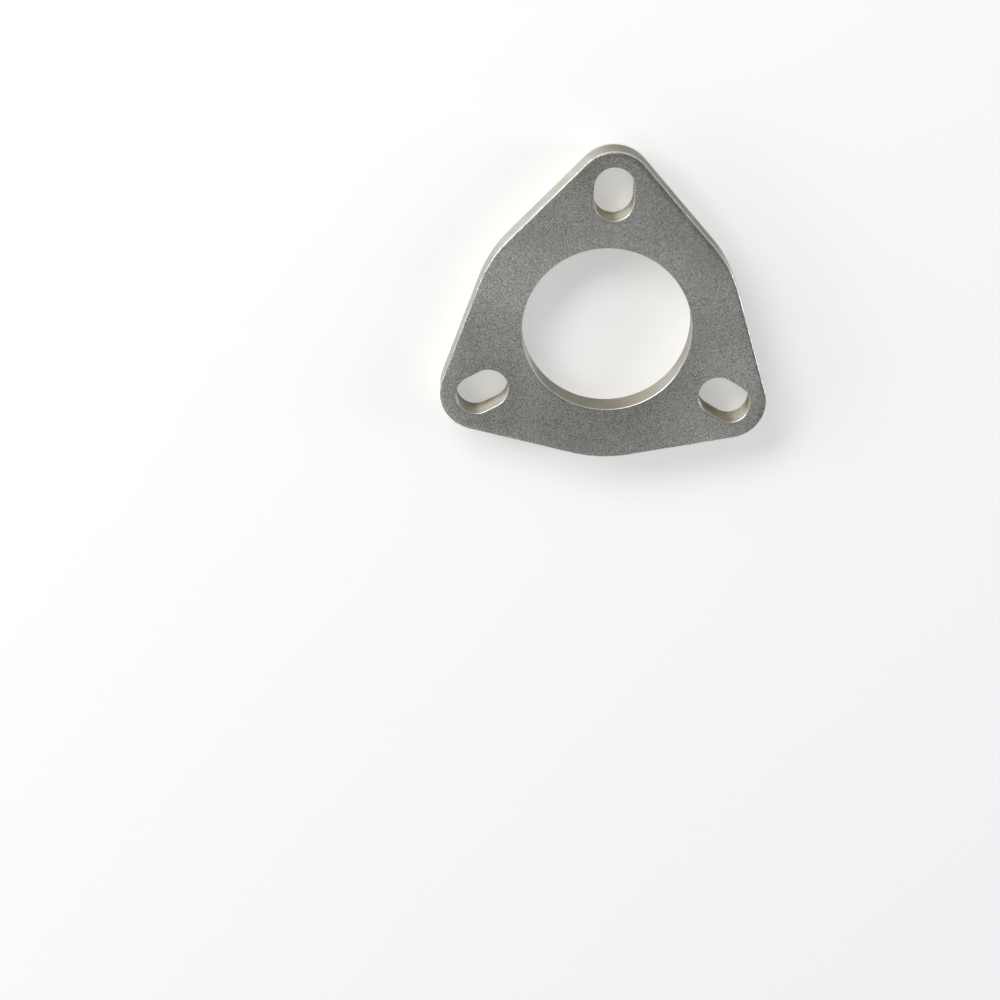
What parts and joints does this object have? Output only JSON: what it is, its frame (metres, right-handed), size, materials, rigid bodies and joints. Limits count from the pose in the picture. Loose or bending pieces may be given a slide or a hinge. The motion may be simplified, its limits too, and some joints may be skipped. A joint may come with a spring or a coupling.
{
  "type": "three-bolt exhaust flange",
  "caption": "Flat stainless steel exhaust flange: a ring with a round pipe bore and rounded ears, each with a radial slot for a clamping bolt.",
  "frame": {"origin": "on the axis of the pipe bore, in the plane of the underside that the flange lies on", "axes": "+Z along the bore's axis, up out of the top face; +Y from the bore's axis through the middle of one ear and its slot; +X completes a right-handed frame"},
  "size_m": [0.0988, 0.0961, 0.0095],
  "materials": {
    "stainless_plate": "satin stainless steel with pebbled rolled faces and bright linished cut walls"
  },
  "bodies": {
    "root": {"flange_plate": "stainless_plate"}
  },
  "joints": []
}
